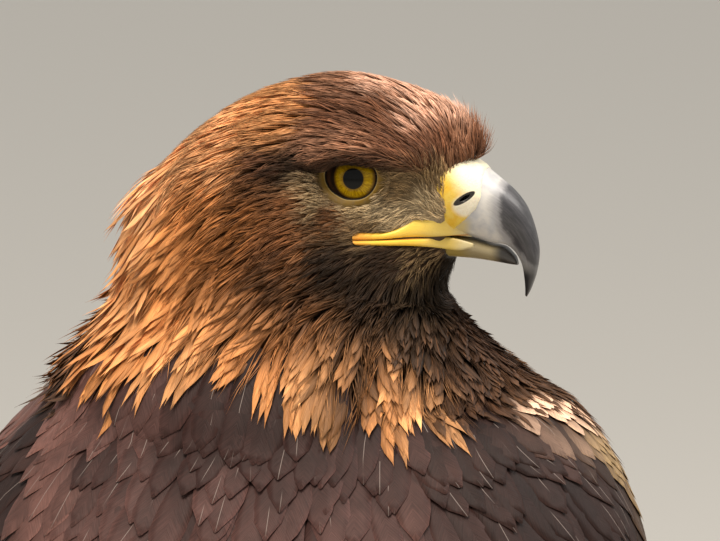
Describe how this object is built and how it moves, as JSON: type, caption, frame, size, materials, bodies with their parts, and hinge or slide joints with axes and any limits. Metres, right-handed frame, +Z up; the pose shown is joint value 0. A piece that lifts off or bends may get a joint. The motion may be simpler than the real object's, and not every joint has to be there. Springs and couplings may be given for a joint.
{
  "type": "golden eagle",
  "caption": "Life-size standing golden eagle with folded wings, looking back over its right shoulder.",
  "frame": {"origin": "on the ground, under the middle of the bird's bounding box", "axes": "+Z up; the breast faces -Y and the tail points to +Y; the bird's right side, where the bill points, is -X"},
  "size_m": [0.2484, 0.5462, 0.6336],
  "materials": {
    "brown_plumage": "matte",
    "golden_plumage": "matte",
    "dark_plumage": "matte",
    "pale_plumage": "matte",
    "bill_horn": "satin",
    "claw_horn": "satin",
    "yellow_skin": "satin",
    "eye_amber": "gloss"
  },
  "bodies": {
    "root": {"head": "brown_plumage", "neck": "golden_plumage", "trunk": "dark_plumage", "wing_left_arm": "dark_plumage", "wing_left_secondaries": "dark_plumage", "wing_left_primaries": "dark_plumage", "wing_right_arm": "dark_plumage", "wing_right_secondaries": "dark_plumage", "wing_right_primaries": "dark_plumage", "tail": "dark_plumage", "thigh_left": "dark_plumage", "thigh_right": "dark_plumage", "tarsus_left": "pale_plumage", "tarsus_right": "pale_plumage", "bill_upper": "bill_horn", "bill_lower": "bill_horn", "eye_left": "eye_amber", "eye_right": "eye_amber", "foot_left": "yellow_skin", "foot_right": "yellow_skin", "claw_left_inner": "claw_horn", "claw_left_middle": "claw_horn", "claw_left_outer": "claw_horn", "claw_left_hind": "claw_horn", "claw_right_inner": "claw_horn", "claw_right_middle": "claw_horn", "claw_right_outer": "claw_horn", "claw_right_hind": "claw_horn"}
  },
  "joints": []
}
